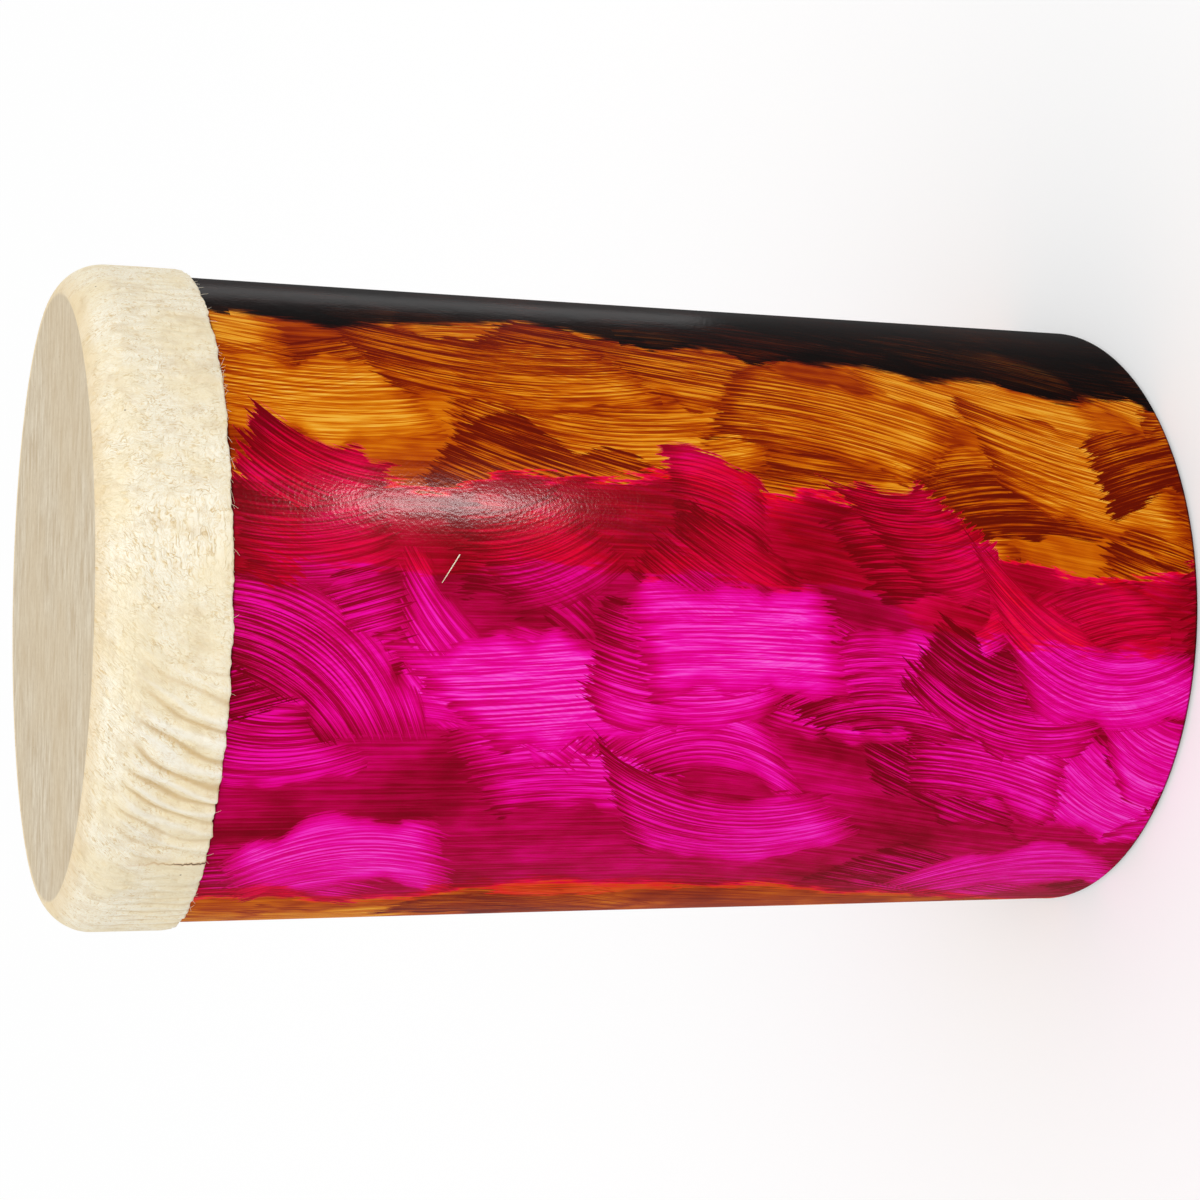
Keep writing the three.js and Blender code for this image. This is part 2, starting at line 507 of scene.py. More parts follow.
def firstCoat(name, glaze):
    # an even wash with streaks and a ragged border
    tree, (share, height), result = groupOf(name + "_wash", ("share", "height"), "thickness")
    angle = share * (2 * math.pi)
    radius = tubeSet["radius"]
    place = joined(tree, angle.math("SINE") * radius, angle.math("COSINE") * radius, height)
    fray = noise(tree, place.vector("MULTIPLY", (0.9, 0.9, 0.12)), 1.0, 3.0, 0.6)
    swell = noise(tree, place.vector("MULTIPLY", (0.02, 0.02, 0.03)), 1.0, 1.0)
    border = share + (fray - 0.5) * 0.02 + (swell - 0.5) * 0.05
    streak = noise(tree, place.vector("MULTIPLY", (1.1, 1.1, 0.03)), 1.0, 4.0, 0.72)
    patch = noise(tree, place.vector("MULTIPLY", (0.05, 0.05, 0.035)), 1.0, 3.0, 0.6)
    film = streak.smooth(0.36, 0.64, 0.82, 1.18) * patch.spread(0.3, 0.7, 0.65, 1.35) * glaze["wash"]
    film = border.math("FRACT").ramp(bandStops(glaze["bands"])) * film
    tree.links.new(film.socket, result)
    return tree


def strokeCoat(name, s):
    # one coat of separate strokes over what lies under it, each in its cell of a lattice round the drum
    tree, (share, height, under, shift, rise, seed), result = groupOf(
        name + "_strokes", ("share", "height", "under", "shift", "rise", "seed"), "thickness")
    wide = 2 * math.pi * tubeSet["radius"] / s["across"]
    tall = s["tall"]
    column = (share + shift).math("FRACT") * float(s["across"])
    lattice = joined(tree, column, height.timesPlus(1 / tall, rise), seed)
    cell = lattice.vector("FLOOR")
    push, slide, swing, load = chances(tree, cell)
    bow = (push * 37.7 + slide).math("FRACT")
    extent = (swing * 29.3 + push).math("FRACT")

    jitter = joined(tree, push.spread(0, 1, -0.2, 0.2), slide.spread(0, 1, -0.12, 0.12))
    local = lattice.vector("FRACTION").vector("SUBTRACT", (0.5, 0.5, 0.0)).vector("SUBTRACT", jitter)
    local = local.vector("MULTIPLY", (wide, tall, 0.0))
    aim = math.radians(s["aim"])
    reach = math.radians(s["aimSpread"])
    turned = tree.nodes.new("ShaderNodeVectorRotate")
    turned.rotation_type = "Z_AXIS"
    feed(tree, turned.inputs["Vector"], local)
    feed(tree, turned.inputs["Angle"], swing.spread(0, 1, aim - reach, aim + reach))
    along = Flow(tree, turned.outputs[0]).along((0.0, 1.0, 0.0))
    side = Flow(tree, turned.outputs[0]).along((1.0, 0.0, 0.0))
    side = side - along * along * bow.spread(0, 1, -s["bend"] / 2, s["bend"] / 2)

    # bristle lines, a torn and slanting end and the paint that is pushed to the sides
    lines = joined(tree, side * (1 / brushSet["bristle"]) + load * 400.0, along * brushSet["drift"])
    bristle = noise(tree, lines, 1.0, 4.0, 0.72, flat=True).smooth(0.38, 0.63)
    comb = noiseLine(tree, side * 0.9 + load * 400.0, 3.0, 0.6)
    slant = along + side * slide.spread(0, 1, -s["skew"], s["skew"])
    toEnd = extent.spread(0, 1, 0.7, 1.1) * s["halfLength"] - slant.size() + (comb - 0.5) * brushSet["tear"]
    waver = noiseLine(tree, along * 0.08 + extent * 400.0, 1.0, 0.5)
    toSide = waver.timesPlus(9.0, bristle * 1.6) - side.size()
    toSide = toSide + extent.spread(0, 1, 0.62, 0.38) * s["halfWidth"]
    mask = toEnd.smooth(0.0, 0.5) * toSide.smooth(0.0, 0.7)

    # only strokes whose middle lies where this glaze is brushed
    middle = cell.vector("ADD", (0.5, 0.5, 0.0)).vector("ADD", jitter).along((1 / s["across"], 0.0, 0.0))
    mask = mask * (middle - shift).math("FRACT").ramp(bandStops(s["middles"]))

    heavy = (load * load).spread(0, 1, *s["load"])
    fade = (slant * (1 / s["halfLength"])).spread(-1, 1, 0.45, 1.6)
    lopsided = (side * bow.spread(0, 1, -0.05, 0.05) + 1.0).math("MAXIMUM", 0.4)
    ridge = toEnd.smooth(0.3, 7.0, 0.55, 0.0) + toSide.smooth(0.2, 4.0, 0.35, 0.0)
    paint = heavy * fade * lopsided * bristle.timesPlus(0.85, 0.3) + ridge
    paint = paint + bristle.timesPlus(0.4, s["least"])
    film = under * (mask * -s["wipe"] + 1.0) + mask * paint
    tree.links.new(film.socket, result)
    return tree


def glazeThickness(tree, share, height, name, glaze):
    draw = np.random.default_rng(glaze["seed"])
    film = useGroup(tree, firstCoat(name, glaze), share=share, height=height)
    for number, s in enumerate(glaze["strokes"]):
        strokes = strokeCoat(f"{name}_{number}", s)
        for coat in range(s["coats"]):
            shift = draw.uniform(0, 1)
            if "line" in s:
                shift = (0.5 / s["across"] - s["line"] / 360 + 0.5) % 1
            film = useGroup(tree, strokes, share=share, height=height, under=film, shift=shift,
                            rise=draw.uniform(0, 1), seed=float(glaze["seed"] + 10 * number + coat))
    return film


def lacquerMaterial():
    material, tree, shader = newMaterial(
        "brushed_lacquer",
        Roughness=0.5,
        Specular_IOR_Level=0.0,
        Coat_Weight=0.08,
        Coat_Roughness=0.19,
        Coat_IOR=1.4,
    )
    place = ownPlace(tree)
    x, y, height = place.parts()
    share = x.math("ARCTAN2", y * -1.0).timesPlus(1 / (2 * math.pi), 0.5)
    share = share + height.smooth(0.0, paintSet["leanFrom"], paintSet["lean"] / 360, 0.0)
    films = {name: glazeThickness(tree, share, height, name, glaze) for name, glaze in glazes.items()}
    films = {name: film.math("SMOOTH_MIN", paintSet["most"], 1.2) for name, film in films.items()}
    films["amber"] = films["amber"] / films["magenta"].timesPlus(paintSet["lift"], 1.0)
    rimShade = height.smooth(0.4, 1.5, 0.65, 0.0)  # painted shade where the rounded edge at the open rim turns away
    # painted shadow and glue line on the tube along the skin's cut edge
    edgeShadowAndGlue = height.smooth(tubeSet["collarEdge"] - 1.0, tubeSet["collarEdge"])
    films["black"] = films["black"] + rimShade + edgeShadowAndGlue * paintSet["edgeShadeAndGlue"]
    for name, deepening in paintSet["deepen"].items():
        films["black"] = films["black"] + films[name] * films[name] * deepening
    channels = []
    for channel in range(3):
        taken = None
        for name, film in films.items():
            part = film * -paintSet[name][channel]
            taken = part if taken is None else taken + part
        channels.append(taken.math("EXPONENT") * paintSet["ground"][channel])
    colour = tree.nodes.new("ShaderNodeCombineColor")
    for slot, channel in zip(colour.inputs, channels):
        feed(tree, slot, channel)
    feed(tree, shader.inputs["Base Color"], Flow(tree, colour.outputs[0]))
    peel = noise(tree, place, 1.3, 1.0, 0.5) * 1.2 + noise(tree, place, 0.16, 1.0) * 2.0
    feed(tree, shader.inputs["Coat Normal"], bumped(tree, peel, 0.1 * mm, 0.36))
    return material


def paperboardMaterial():
    material, tree, shader = newMaterial("kraft_paperboard", Roughness=0.85, Specular_IOR_Level=0.25)
    place = ownPlace(tree)
    x, y, height = place.parts()
    turn = x.math("ARCTAN2", y * -1.0) * (1 / (2 * math.pi))
    wound = (height * (1 / 95.0) + turn).math("FRACT")  # paper strip wound in a spiral
    seam = (wound - 0.5).size().smooth(0.004, 0.012, 1.0, 0.0)
    x2 = x * x + y * y
    ply = (x2.math("SQRT") * 2.2).math("FRACT").smooth(0.0, 0.35, 1.0, 0.0)
    fibre = noise(tree, place.vector("MULTIPLY", (1.0, 1.0, 0.35)), 1.2, 4.0, 0.65)
    blotch = noise(tree, place, 0.05, 3.0)
    colour = fibre.ramp([(0.25, (0.24, 0.145, 0.075)), (0.5, (0.36, 0.235, 0.13)), (0.8, (0.47, 0.33, 0.2))])
    colour = blended(tree, blotch.smooth(0.35, 0.75, 0.0, 0.35), colour, (0.22, 0.13, 0.065))
    colour = blended(tree, seam * 0.6, colour, (0.12, 0.07, 0.035))
    colour = blended(tree, ply * 0.25, colour, (0.16, 0.09, 0.045))
    feed(tree, shader.inputs["Base Color"], colour)
    feed(tree, shader.inputs["Normal"], bumped(tree, fibre - seam, 0.12 * mm, 0.6))
    return material


def makeTube():
    s = tubeSet
    around = s["around"]
    inner = s["bore"] + s["edgeBreak"]
    rim = [(inner, 0.0), ((inner + s["radius"]) / 2, 0.0)]
    edge = arc(s["radius"] - s["rimRound"], s["rimRound"], s["rimRound"], -90, 0, 8)
    wall = [(s["radius"], z) for z in np.linspace(s["rimRound"], shoulderHeight, s["wallRows"])[1:-1]]
    top = shoulderProfile(0, 10)
    boreHeights = np.linspace(s["height"] - s["edgeBreak"], s["edgeBreak"], s["boreRows"])
    inside = [(inner, s["height"])] + [(s["bore"], z) for z in boreHeights]
    profile = rim + edge + wall + top + inside
    angle = np.linspace(0, 2 * np.pi, around, endpoint=False)
    rows = []
    for radius, height in profile:
        uneven = 0.0
        if height > s["rimRound"]:
            uneven = s["unevenness"] * waves(angle, height, 5, (2, 3, 5, 7), 180.0)
        rows.append(ringPoints(radius - abs(uneven), height, around))
    faces = turnedFaces(len(rows), around, True)
    lacquered = range(len(rim) - 1, len(rim) + len(edge) + len(wall) + len(top) - 1)
    slots = [0 if index // around in lacquered else 1 for index in range(len(faces))]
    materials = (lacquerMaterial(), paperboardMaterial())
    mesh = meshOf("painted_tube", np.concatenate(rows), faces, materials, slots)
    return placed("painted_tube", mesh, "drum", ["drum_tube"])


paintedTube = makeTube()
print("tube painted:", len(paintedTube.data.polygons), "faces")


# Goatskin head and collar

skinSet = {
    "cut": 200.0,  # mm across the round hide before it is wetted, stretched and glued down
    "thickness": 1.2,
    "gap": 0.1,  # glue line between skin and tube
    "top": 260.0,
    "around": 960,
    "faceRows": 12,
    "shoulderRows": 18,
    "collarRows": 44,
    "insideRows": 12,
    "creaseRound": 0.9,
    "edgeRagged": 0.3,
    # middle and reach in degrees from the front, height and pitch in mm, mm sideways for each mm down
    "folds": [
        (-27, 19, 1.6, 5.6, 0.55),
        (-66, 16, 0.42, 3.4, 0.05),
        (60, 22, 0.28, 2.8, -0.05),
        (14, 12, 0.2, 4.6, 0.3),
        (112, 20, 0.35, 4.0, -0.3),
        (150, 22, 0.5, 5.2, -0.5),
        (-155, 22, 0.6, 5.9, 0.45),
        (-112, 16, 0.3, 3.4, 0.2),
    ],
    "foldStart": 3.5,  # mm below the face
    "foldCurve": (1.9, -0.028),  # how the slant of the folds eases off towards the cut edge
    "crackAngle": -47.0,  # a split that runs in from the cut edge
    "crackLength": 16.0,
    "fibres": 170,
    "tufts": [(38, 4, 22), (20, 6, 8), (-64, 3, 9), (160, 5, 16), (-140, 6, 14)],  # middle, spread, fibres
    "strayHair": ((8.2, 184.0), (3.5, 188.0)),  # degrees and height of the ends of one caught in the lacquer
}
collarEdge = tubeSet["collarEdge"]
skinOutside = tubeSet["radius"] + 0.3 + skinSet["thickness"]


def collarRelief(angle, height):
    # how far the glued collar stands out in folds and puckers, and how deep a point lies between folds, or
    # below 0 how high it lies on one;
    # the material paints shade into the valleys and a highlight onto the crests from this second value
    degree = (np.degrees(angle) + 180) % 360 - 180
    down = skinSet["top"] - height
    wander = np.radians(degree) * skinOutside + 1.1 * waves(angle, height, 21, (5, 9, 14), 60.0)
    wander = wander + 0.8 * waves(angle, height, 24, (31, 47, 60), 10.0)
    start = skinSet["foldStart"] + 1.6 * waves(angle, 0.0, 23, (8, 15, 23), 60.0)
    below = np.clip((down - start) / 8, 0, 1)
    below = below * below * (3 - 2 * below)
    out = 0.15 * waves(angle, height, 22, (3, 4, 6, 11, 17), 40.0) * np.clip(down / 10, 0, 1)
    foldShadeAndHighlight = np.zeros_like(out)
    slant = skinSet["foldCurve"][0] * down + skinSet["foldCurve"][1] * down ** 2
    for middle, reach, size, pitch, tilt in skinSet["folds"]:
        here = np.exp(-((degree - middle) / reach) ** 2) * below
        fold = 0.5 + 0.5 * np.sin(2 * np.pi * (wander + tilt * slant) / pitch + middle)
        out = out + here * size * fold ** 0.75
        foldShadeAndHighlight = foldShadeAndHighlight + here * min(size / 0.6, 1) * ((1 - fold) ** 5 - fold ** 3)
    return out, foldShadeAndHighlight


def goatskinMaterial():
    material, tree, shader = newMaterial("goatskin", Roughness=0.72, Specular_IOR_Level=0.12)
    place = ownPlace(tree)
    x, y, height = place.parts()
    arcLength = x.math("ARCTAN2", y * -1.0) * skinOutside
    radius = (x * x + y * y).math("SQRT")
    down = height * -1.0 + skinSet["top"]
    face = radius.smooth(creaseRadius - 1.2, creaseRadius - 0.2, 1.0, 0.0) * height.smooth(258.6, 259.2)
    foldLightNode = tree.nodes.new("ShaderNodeAttribute")
    foldLightNode.attribute_name = "paintedFoldLight"
    foldShadeAndHighlight = Flow(tree, foldLightNode.outputs["Fac"])

    # hair marks that lie along the drum, slant with the folds and curl at the front and back
    lean = arcLength.smooth(-80.0, -62.0) * arcLength.smooth(0.0, 25.0, 1.0, 0.0) * 0.55
    curl = (y * y).smooth(900.0, 3600.0, 0.3, 1.0) * lean.timesPlus(-1.3, 1.0) * 5.0
    swirl = noise(tree, place, 0.12, 2.0, 0.5, colour=True).vector("SUBTRACT", (0.5, 0.5, 0.5))
    waver = noise(tree, place, 0.55, 1.0, 0.5, colour=True).vector("SUBTRACT", (0.5, 0.5, 0.5))
    warp = swirl.vector("MULTIPLY", joined(tree, curl, curl))
    warp = warp.vector("ADD", waver.vector("MULTIPLY", (1.7, 1.7, 0.0)))
    slant = lean * down * (down * skinSet["foldCurve"][1] + skinSet["foldCurve"][0])
    flow = joined(tree, arcLength + slant, height).vector("ADD", warp)
    wool = noise(tree, flow.vector("MULTIPLY", (1.35, 0.55, 0.0)), 1.0, 1.0, 0.5, flat=True)
    hair = noise(tree, flow.vector("MULTIPLY", (3.0, 1.1, 0.0)), 1.0, 2.0, 0.6, flat=True)
    patch = noise(tree, place, 0.07, 3.0, 0.55)
    stain = noise(tree, place, 0.16, 3.0, 0.6)
    strong = noise(tree, place, 0.4, 1.0).smooth(0.35, 0.65, 0.25, 1.0)
    grain = (wool - 0.5).size().smooth(0.0, 0.06, 0.75, 0.0) * strong
    grain = grain + (hair - 0.5).size().smooth(0.0, 0.06, 0.4, 0.0)

    pale = grain.ramp([(0.0, (0.98, 0.92, 0.76)), (0.4, (0.9, 0.77, 0.52)), (1.0, (0.68, 0.48, 0.23))])
    pale = blended(tree, patch.smooth(0.42, 0.62, 0.0, 0.6), pale, (0.93, 0.79, 0.51))
    pale = blended(tree, stain.smooth(0.5, 0.7, 0.0, 0.4), pale, (0.74, 0.58, 0.36))
    # painted highlight on the fold crests, then painted shade in the valleys between folds
    pale = blended(tree, foldShadeAndHighlight.smooth(-0.9, -0.2, 0.55, 0.0), pale, (1.0, 0.96, 0.85))
    pale = blended(tree, foldShadeAndHighlight.smooth(0.1, 1.0, 0.0, 0.7), pale, (0.66, 0.45, 0.2))
    warmEdge = down.smooth(0.2, 3.2, 0.5, 0.0)
    pale = blended(tree, warmEdge, pale, (0.8, 0.6, 0.33))

    # straight grain of the stretched face, drawn darker and greyer than the collar: partly its own tone,
    # partly painted shade of the face that looks up
    straight = noise(tree, joined(tree, x * 0.1, y * 0.33), 1.0, 5.0, 0.65, flat=True)
    fine = noise(tree, joined(tree, x * 0.6, y * 1.4), 1.0, 2.0, 0.6, flat=True)
    cloud = noise(tree, place, 0.022, 3.0)
    plain = straight.ramp([(0.34, (0.52, 0.41, 0.27)), (0.5, (0.61, 0.52, 0.38)), (0.66, (0.7, 0.62, 0.48))])
    plain = blended(tree, cloud.smooth(0.4, 0.65, 0.0, 0.5), plain, (0.61, 0.49, 0.32))
    plain = blended(tree, fine.smooth(0.5, 0.72, 0.0, 0.4), plain, (0.47, 0.36, 0.23))
    colour = blended(tree, face, pale, plain)

    # follicle specks, and a split that runs in from the cut edge
    speck = pebbles(tree, place, 0.17, 0.0).smooth(0.025, 0.05, 1.0, 0.0)
    colour = blended(tree, speck * patch.smooth(0.45, 0.6) * 0.7, colour, (0.2, 0.11, 0.05))
    inFrom = height - collarEdge
    wobble = noiseLine(tree, height * 0.6, 3.0, 0.6) * 1.6 - 0.8
    offCrack = (arcLength - math.radians(skinSet["crackAngle"]) * skinOutside + wobble).size()
    crack = inFrom.smooth(2.0, skinSet["crackLength"], 0.3, -0.1) - offCrack
    halo = crack.smooth(-0.6, 0.2)
    halo = halo * inFrom.smooth(skinSet["crackLength"] * 0.6, skinSet["crackLength"] * 1.4, 0.6, 0.0)
    colour = blended(tree, halo, colour, (0.62, 0.33, 0.1))
    # the split's near-black line is painted shade inside the gap
    colour = blended(tree, crack.smooth(0.0, 0.2), colour, (0.07, 0.035, 0.015))
    feed(tree, shader.inputs["Base Color"], colour)
    relief = grain * (face - 1.0) - fine * face * 0.2
    feed(tree, shader.inputs["Normal"], bumped(tree, relief, 0.14 * mm, 0.65))
    return material


def makeSkin(material):
    s = skinSet
    around = s["around"]
    angle = np.linspace(0, 2 * np.pi, around, endpoint=False)
    slow = waves(angle, 0.0, 31, (7, 13, 29, 41), 1.0)
    quick = np.random.default_rng(32).normal(0, 1, around)
    quick = (np.roll(quick, 1) + 2 * quick + np.roll(quick, -1)) / 4
    edge = collarEdge + s["edgeRagged"] * (0.7 * slow + 0.4 * quick)
    outer = s["gap"] + s["thickness"] + 0.2
    inner = tubeSet["radius"] + s["gap"]
    rows, foldShadesAndHighlights = [], []

    def addRow(radius, height, foldShadeAndHighlight=0.0):
        rows.append(ringPoints(radius, height, around))
        foldShadesAndHighlights.append(np.broadcast_to(foldShadeAndHighlight, around))

    for radius in np.sqrt(np.linspace(0.002, 1, s["faceRows"])) * (creaseRadius - s["creaseRound"]):
        dish = 0.12 * waves(angle, radius, 33, (1, 2, 3), 90.0) * min(radius / 40, 1)
        addRow(radius, s["top"] - 0.15 + dish * min((creaseRadius - radius) / 20, 1))
    for radius, height in reversed(shoulderProfile(outer, s["shoulderRows"])):
        out, foldShadeAndHighlight = collarRelief(angle, height)
        addRow(radius + out, height, foldShadeAndHighlight)
    for share in np.linspace(0, 1, s["collarRows"])[1:]:
        height = shoulderHeight + (edge - shoulderHeight) * share
        out, foldShadeAndHighlight = collarRelief(angle, height)
        thinned = 2.5 * max(share - 0.9, 0)
        addRow(tubeSet["radius"] + outer + out - thinned, height, foldShadeAndHighlight)
    addRow(tubeSet["radius"] + outer + out - 0.55, edge - 0.22, foldShadeAndHighlight)
    addRow(inner + 0.25, edge - 0.12)
    for share in np.linspace(0, 1, s["insideRows"] // 2):
        addRow(inner, edge + 0.05 + (shoulderHeight - edge) * share)
    for radius, height in shoulderProfile(s["gap"], 10)[1:]:
        addRow(radius, height)
    for radius in np.linspace(creaseRadius - 3, 2.0, s["insideRows"] // 2):
        addRow(radius, tubeSet["height"] + s["gap"])
    faces = [tuple(reversed(face)) for face in turnedFaces(len(rows), around, False)]
    faces.append(tuple(range(around)))
    last = (len(rows) - 1) * around
    faces.append(tuple(range(last + around - 1, last - 1, -1)))
    mesh = meshOf("goatskin_head", np.concatenate(rows), faces, (material,))
    # per point values for the painted fold shade and highlight
    foldLightValues = mesh.attributes.new("paintedFoldLight", "FLOAT", "POINT")
    foldLightValues.data.foreach_set("value", np.concatenate(foldShadesAndHighlights).astype(np.float32))
    return placed("goatskin_head", mesh, "drum", ["drum_skin"])


def makeFibres(material):
    # loose hide fibres that stand out of the cut edge, and one hair caught in the lacquer
    draw = np.random.default_rng(81)
    points, faces, strands = [], [], []
    starts = []
    for _ in range(skinSet["fibres"]):
        starts.append((draw.uniform(0, 2 * np.pi), 0.5 + 2.2 * draw.uniform() ** 3, 0.7))
    for middle, spread, count in skinSet["tufts"]:
        for _ in range(count):
            starts.append((math.radians(draw.normal(middle, spread)), draw.uniform(0.8, 2.2), 1.6))
    for angle, length, sway in starts:
        swing = draw.normal(0, sway)
        lift = draw.uniform(0.02, 0.3)
        path = []
        for t in np.linspace(0, 1, 6):
            turn = angle + swing * length * t * (0.4 + 0.6 * t) / skinOutside
            radius = tubeSet["radius"] + 0.45 + lift * length * t * (1 - 0.6 * t)
            height = collarEdge + 0.5 - length * t
            path.append((radius * math.sin(turn), -radius * math.cos(turn), height))
        strands.append((path, np.linspace(0.13, 0.05, 6)))
    hair = []
    for degree, height in np.linspace(*skinSet["strayHair"], 12):
        turn = math.radians(degree)
        hair.append((tubeSet["radius"] * math.sin(turn), -tubeSet["radius"] * math.cos(turn), height))
    strands.append((hair, np.linspace(0.32, 0.16, 12)))
    for path, widths in strands:
        strand, around = sweptWire(path, widths, 5)
        offset = sum(len(p) for p in points)
        faces += [tuple(index + offset for index in face) for face in around]
        points.append(strand)
    mesh = meshOf("collar_fibres", np.concatenate(points), faces, (material,))
    return placed("collar_fibres", mesh, "drum")


goatskin = goatskinMaterial()
goatskinHead = makeSkin(goatskin)
makeFibres(goatskin)
print("skin stretched:", len(goatskinHead.data.polygons), "faces")


# Button, screw eye, ring and spring inside

linkSet = {
    "buttonRadius": 18.0,
    "buttonThickness": 9.0,
    "buttonRound": 2.5,
    "hole": 1.5,
    "eyeWire": 2.4,
    "eyeRadius": 5.0,
    "eyeCentre": 240.3,
    "eyeStart": 50.0,  # degrees
    "eyeSweep": 290.0,
    "threadPitch": 0.9,
    "threadDepth": 0.35,
    "ringWire": 1.8,
    "ringRadius": 6.5,
    "ringCentre": 231.2,
    "ringJoint": 0.9,
}
buttonTop = tubeSet["height"]
buttonBottom = buttonTop - linkSet["buttonThickness"]
up = np.array([0.0, 0.0, 1.0])


def woodMaterial():
    material, tree, shader = newMaterial("turned_wood", Roughness=0.62, Specular_IOR_Level=0.3)
    place = ownPlace(tree)
    warp = noise(tree, place, 0.06, 2.0, colour=True).vector("MULTIPLY", (9.0, 9.0, 9.0))
    x, y, z = place.vector("ADD", warp).parts()
    # rings round the middle of a tree that stood to one side of the button and below it
    side = y + 34.0
    rise = z - (buttonBottom - 14.0)
    years = ((side * side + rise * rise).math("SQRT") * 0.4).math("FRACT")
    pore = noise(tree, place.vector("MULTIPLY", (0.12, 2.2, 2.2)), 1.0, 3.0, 0.6)
    colour = years.ramp([(0.0, (0.3, 0.165, 0.075)), (0.25, (0.5, 0.31, 0.15)), (1.0, (0.58, 0.38, 0.2))])
    colour = blended(tree, pore.smooth(0.52, 0.7, 0.0, 0.6), colour, (0.26, 0.14, 0.065))
    feed(tree, shader.inputs["Base Color"], colour)
    feed(tree, shader.inputs["Normal"], bumped(tree, pore * -1.0, 0.1 * mm, 0.4))
    return material


def steelMaterial(name, tint, roughness):
    material, tree, shader = newMaterial(name, Metallic=1.0)
    place = ownPlace(tree)
    drawn = noise(tree, place, 3.0, 3.0, 0.6)
    dull = noise(tree, place, 0.4, 3.0)
    dark = tuple(0.62 * channel for channel in tint)
    colour = blended(tree, dull.smooth(0.35, 0.75, 0.0, 0.7), tint, dark)
    feed(tree, shader.inputs["Base Color"], colour)
    feed(tree, shader.inputs["Roughness"], drawn.spread(0.3, 0.7, roughness - 0.08, roughness + 0.1))
    feed(tree, shader.inputs["Normal"], bumped(tree, drawn, 0.02 * mm, 0.3))
    return material


def makeButton():
    s = linkSet
    around = 96
    profile = [(s["hole"], buttonTop - 2.0), (s["hole"], buttonBottom)]
    rounding = s["buttonRound"]
    profile += arc(s["buttonRadius"] - rounding, buttonBottom + rounding, rounding, -90, 0, 9)
    profile += [(s["buttonRadius"], buttonTop - 0.4), (s["buttonRadius"] - 0.4, buttonTop)]
    rows = [ringPoints(radius, height, around) for radius, height in profile]
    faces = turnedFaces(len(rows), around, False)
    last = (len(rows) - 1) * around
    faces.append(tuple(range(around - 1, -1, -1)))
    faces.append(tuple(range(last, last + around)))
    mesh = meshOf("turned_button", np.concatenate(rows), faces, (woodMaterial(),))
    return placed("turned_button", mesh, "drum", ["anchor_button"])


def onLoop(radius, centre, angle):
    # a point of a wire loop that stands in the XZ plane
    return np.array([radius * math.cos(angle), 0, centre + radius * math.sin(angle)])


def makeEye(material):
    s = linkSet
    start = math.radians(s["eyeStart"])
    onEye = [start - math.radians(s["eyeSweep"]) * t for t in np.linspace(0, 1, 73)]
    eye = [onLoop(s["eyeRadius"], s["eyeCentre"], angle) for angle in onEye]
    tip = np.array([0, 0, buttonTop - 2.3])
    neck = np.array([0, 0, buttonBottom - s["eyeWire"] / 2])
    shank = [tip + (neck - tip) * t for t in np.linspace(0, 1, 60)]
    onward = np.array([math.sin(start), 0, -math.cos(start)])
    path = [*shank, *bend(neck, -up, eye[0], onward, 10), *eye]
    widths = np.full(len(path), s["eyeWire"])
    for index, place in enumerate(shank):
        if place[2] > buttonBottom:
            groove = 0.5 + 0.5 * math.cos(2 * np.pi * place[2] / s["threadPitch"])
            widths[index] = s["eyeWire"] - s["threadDepth"] * groove
    widths[0] = 0.6
    widths[-1] = s["eyeWire"] * 0.7
    points, faces = sweptWire(path, widths, 18)
    mesh = meshOf("wire_eye", points, faces, (material,))
    return placed("wire_eye", mesh, "drum", ["screw_eye"])


def makeRing(material):
    s = linkSet
    half = s["ringJoint"] / 2 / s["ringRadius"]
    path = []
    for angle in np.linspace(half, 2 * np.pi - half, 97):
        sideways = s["ringRadius"] * math.cos(angle)
        path.append((0, sideways, s["ringCentre"] + s["ringRadius"] * math.sin(angle)))
    points, faces = sweptWire(path, s["ringWire"], 18)
    mesh = meshOf("open_ring", points, faces, (material,))
    return placed("open_ring", mesh, "link", ["jump_ring"])


springSet = {
    "wire": 1.2,
    "radius": 3.9,
    "pitch": 2.0,
    "curls": 95,
    "top": 219.2,
    "loopCentre": 222.6,
    "loopSweep": 300.0,  # degrees
    "loopLead": 24.0,
    "steps": 24,  # for each curl
    "sides": 10,
}


def makeSpring(material):
    s = springSet
    lead = math.radians(s["loopLead"])
    path = []
    for step in range(s["curls"] * s["steps"], -1, -1):
        angle = -lead - 2 * np.pi * step / s["steps"]
        height = s["top"] - s["pitch"] * step / s["steps"]
        path.append(np.array([s["radius"] * math.cos(angle), s["radius"] * math.sin(angle), height]))
    climb = s["pitch"] / (2 * np.pi)
    leaving = np.array([s["radius"] * math.sin(lead), s["radius"] * math.cos(lead), climb])
    leaving = leaving / np.linalg.norm(leaving)
    onEnd = np.radians(np.linspace(0, s["loopSweep"], 48))
    loop = [onLoop(s["radius"], s["loopCentre"], angle) for angle in onEnd]
    path = [*path, *bend(path[-1], leaving, loop[0], up, 12), *loop]
    points, faces = sweptWire(path, s["wire"], s["sides"])
    mesh = meshOf("coil_spring", points, faces, (material,))
    return placed("coil_spring", mesh, "spring", ["thunder_spring"])


makeButton()
zinc = steelMaterial("zinc_wire", (0.66, 0.67, 0.68), 0.28)
makeEye(zinc)
makeRing(zinc)
coilSpring = makeSpring(steelMaterial("spring_wire", (0.56, 0.56, 0.57), 0.34))
print("spring hung:", len(coilSpring.data.polygons), "faces")


# Floor and light

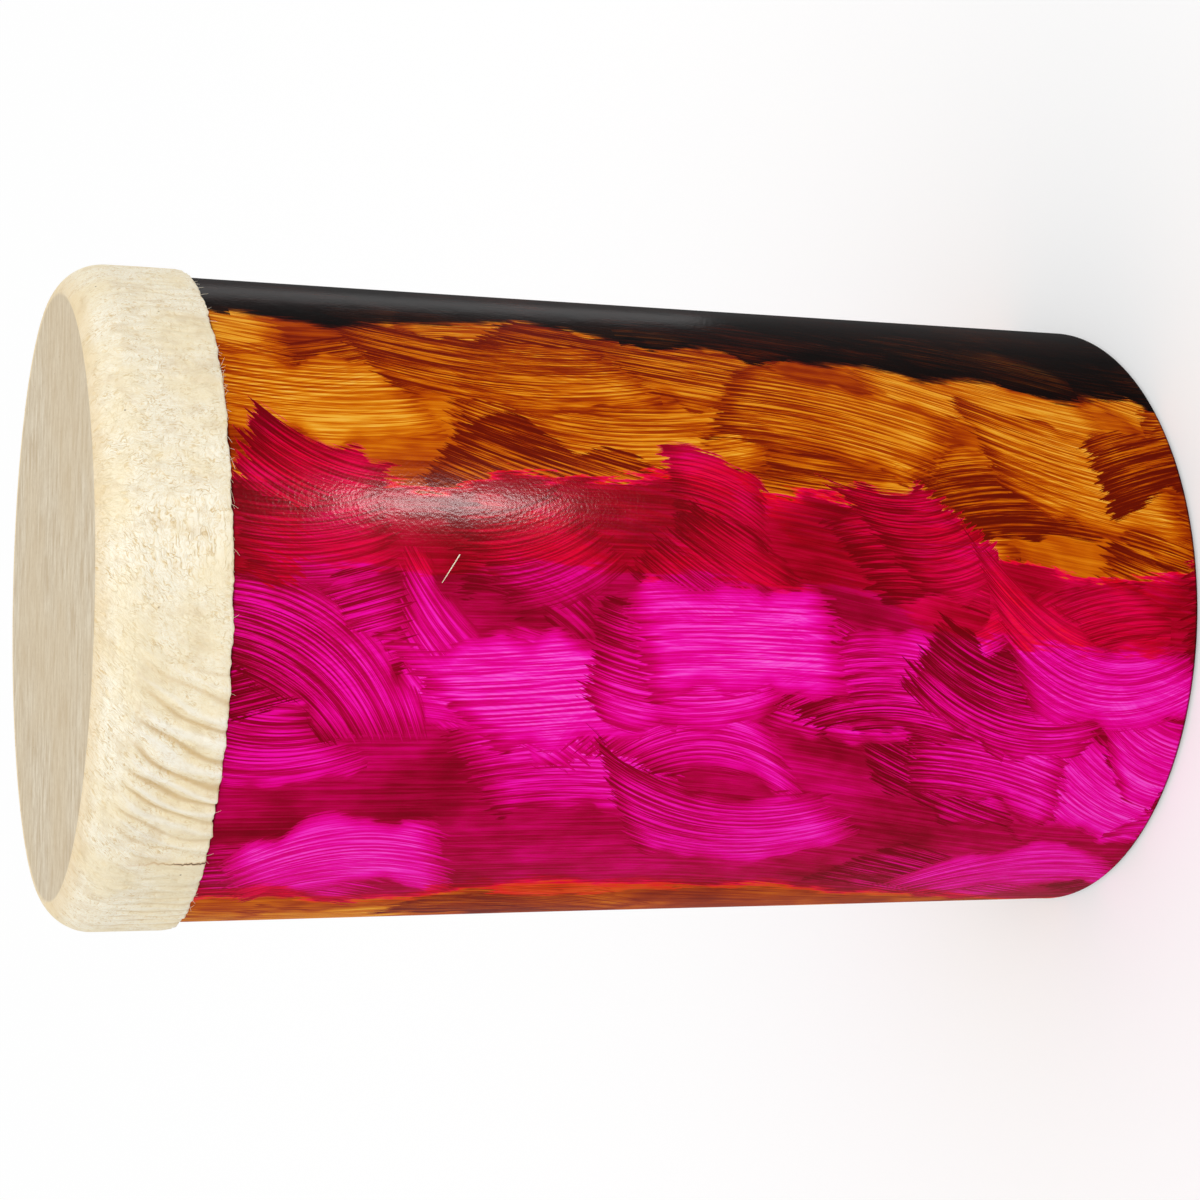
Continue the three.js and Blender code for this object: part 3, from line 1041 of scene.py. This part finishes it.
studioSet = {
    "floor": (0.62, 0.62, 0.62),
    "floorHeight": -0.2,  # mm
    "floorRadii": (6000.0, tubeSet["bore"] - 1.0),
    "floorGlow": 0.36,  # what the eye and reflections see on top of the lit floor
    "world": 1.02,
    "lamps": {
        "front_softbox": {
            "place": (0.06, -0.88, 0.36),
            "target": (0, 0, 0.13),
            "size": (0.9, 0.9),
            "watts": 1.9,
        },
        "sheen_panel": {
            "place": (0.111, -0.192, 0.143),
            "target": (0, 0, 0.16),
            "size": (0.02, 0.05),
            "watts": 0.65,
            "onlyGloss": True,
        },
        "side_panel": {
            "place": (0.24, 0.19, 0.1),
            "target": (0.06, 0, 0.13),
            "size": (0.07, 0.2),
            "watts": 0.15,
            "onlyGloss": True,
        },
    },
}


def makeFloor():
    # open under the drum's mouth and clear from below, so that the inside can be looked into
    around = 96
    rims = [ringPoints(radius, studioSet["floorHeight"], around) for radius in studioSet["floorRadii"]]
    mesh = bpy.data.meshes.new("studio_floor")
    mesh.from_pydata((np.concatenate(rims) * mm).tolist(), [], turnedFaces(2, around, False))
    material, tree, shader = newMaterial("studio_floor", Roughness=0.9, Specular_IOR_Level=0.0)
    side = tree.nodes.new("ShaderNodeNewGeometry")
    feed(tree, shader.inputs["Alpha"], Flow(tree, side.outputs["Backfacing"]) * -1.0 + 1.0)
    shader.inputs["Base Color"].default_value = (*studioSet["floor"], 1)
    path = tree.nodes.new("ShaderNodeLightPath")
    seen = Flow(tree, path.outputs["Is Camera Ray"])
    for ray in ("Is Glossy Ray", "Is Transmission Ray"):
        seen = seen.math("MAXIMUM", Flow(tree, path.outputs[ray]))
    shader.inputs["Emission Color"].default_value = (1, 1, 1, 1)
    feed(tree, shader.inputs["Emission Strength"], seen * studioSet["floorGlow"])
    mesh.materials.append(material)
    floor = bpy.data.objects.new("studio_floor", mesh)
    scene.collection.objects.link(floor)


def makeLamp(name, place, target, size, watts, onlyGloss=False):
    lamp = bpy.data.lights.new(name, "AREA")
    lamp.shape = "RECTANGLE"
    lamp.size, lamp.size_y = size
    lamp.energy = watts
    holder = bpy.data.objects.new(name, lamp)
    scene.collection.objects.link(holder)
    holder.location = place
    holder.rotation_euler = (Vector(target) - Vector(place)).to_track_quat("-Z", "Y").to_euler()
    holder.visible_camera = False
    if onlyGloss:
        holder.visible_diffuse = False


makeFloor()
world = bpy.data.worlds.new("soft_room")
world.use_nodes = True
world.node_tree.nodes["Background"].inputs["Color"].default_value = (1, 1, 1, 1)
world.node_tree.nodes["Background"].inputs["Strength"].default_value = studioSet["world"]
scene.world = world
for lampName, lampSet in studioSet["lamps"].items():
    makeLamp(lampName, **lampSet)
print("studio lit")
